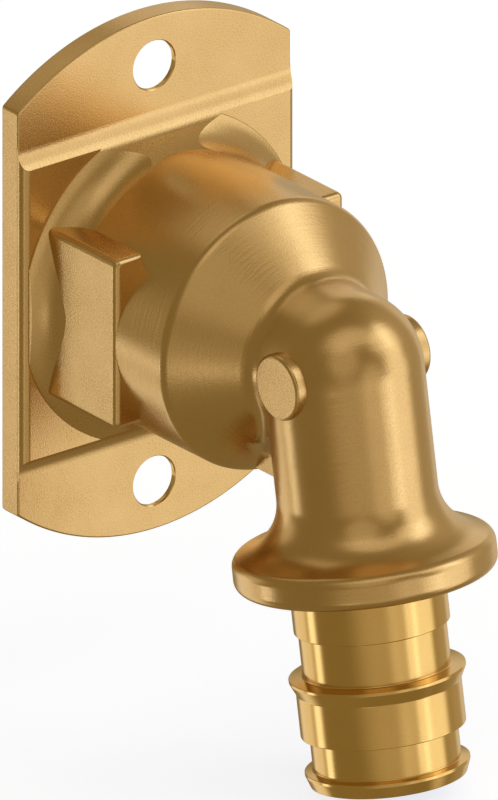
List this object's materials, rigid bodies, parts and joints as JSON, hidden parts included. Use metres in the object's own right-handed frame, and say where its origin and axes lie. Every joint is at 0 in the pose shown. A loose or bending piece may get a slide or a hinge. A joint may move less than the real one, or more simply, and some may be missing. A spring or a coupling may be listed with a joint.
{
  "type": "wall elbow",
  "caption": "Forged brass wall elbow: a screw-fixed wall plate with a female pipe thread behind it, turning down into a collared, barbed spigot for plastic pipe.",
  "frame": {"origin": "middle of the two screw holes on the wall plate's flat face, which is also the middle of the socket's mouth", "axes": "+Y along the socket's axis, out of its mouth and through the wall; +Z from one screw hole to the other, away from the spigot; +X across the plate; the elbow lies on the -Y side"},
  "size_m": [0.0382, 0.0554, 0.0786],
  "materials": {
    "brass": "satin"
  },
  "bodies": {
    "root": {"elbow_body": "brass"}
  },
  "joints": []
}
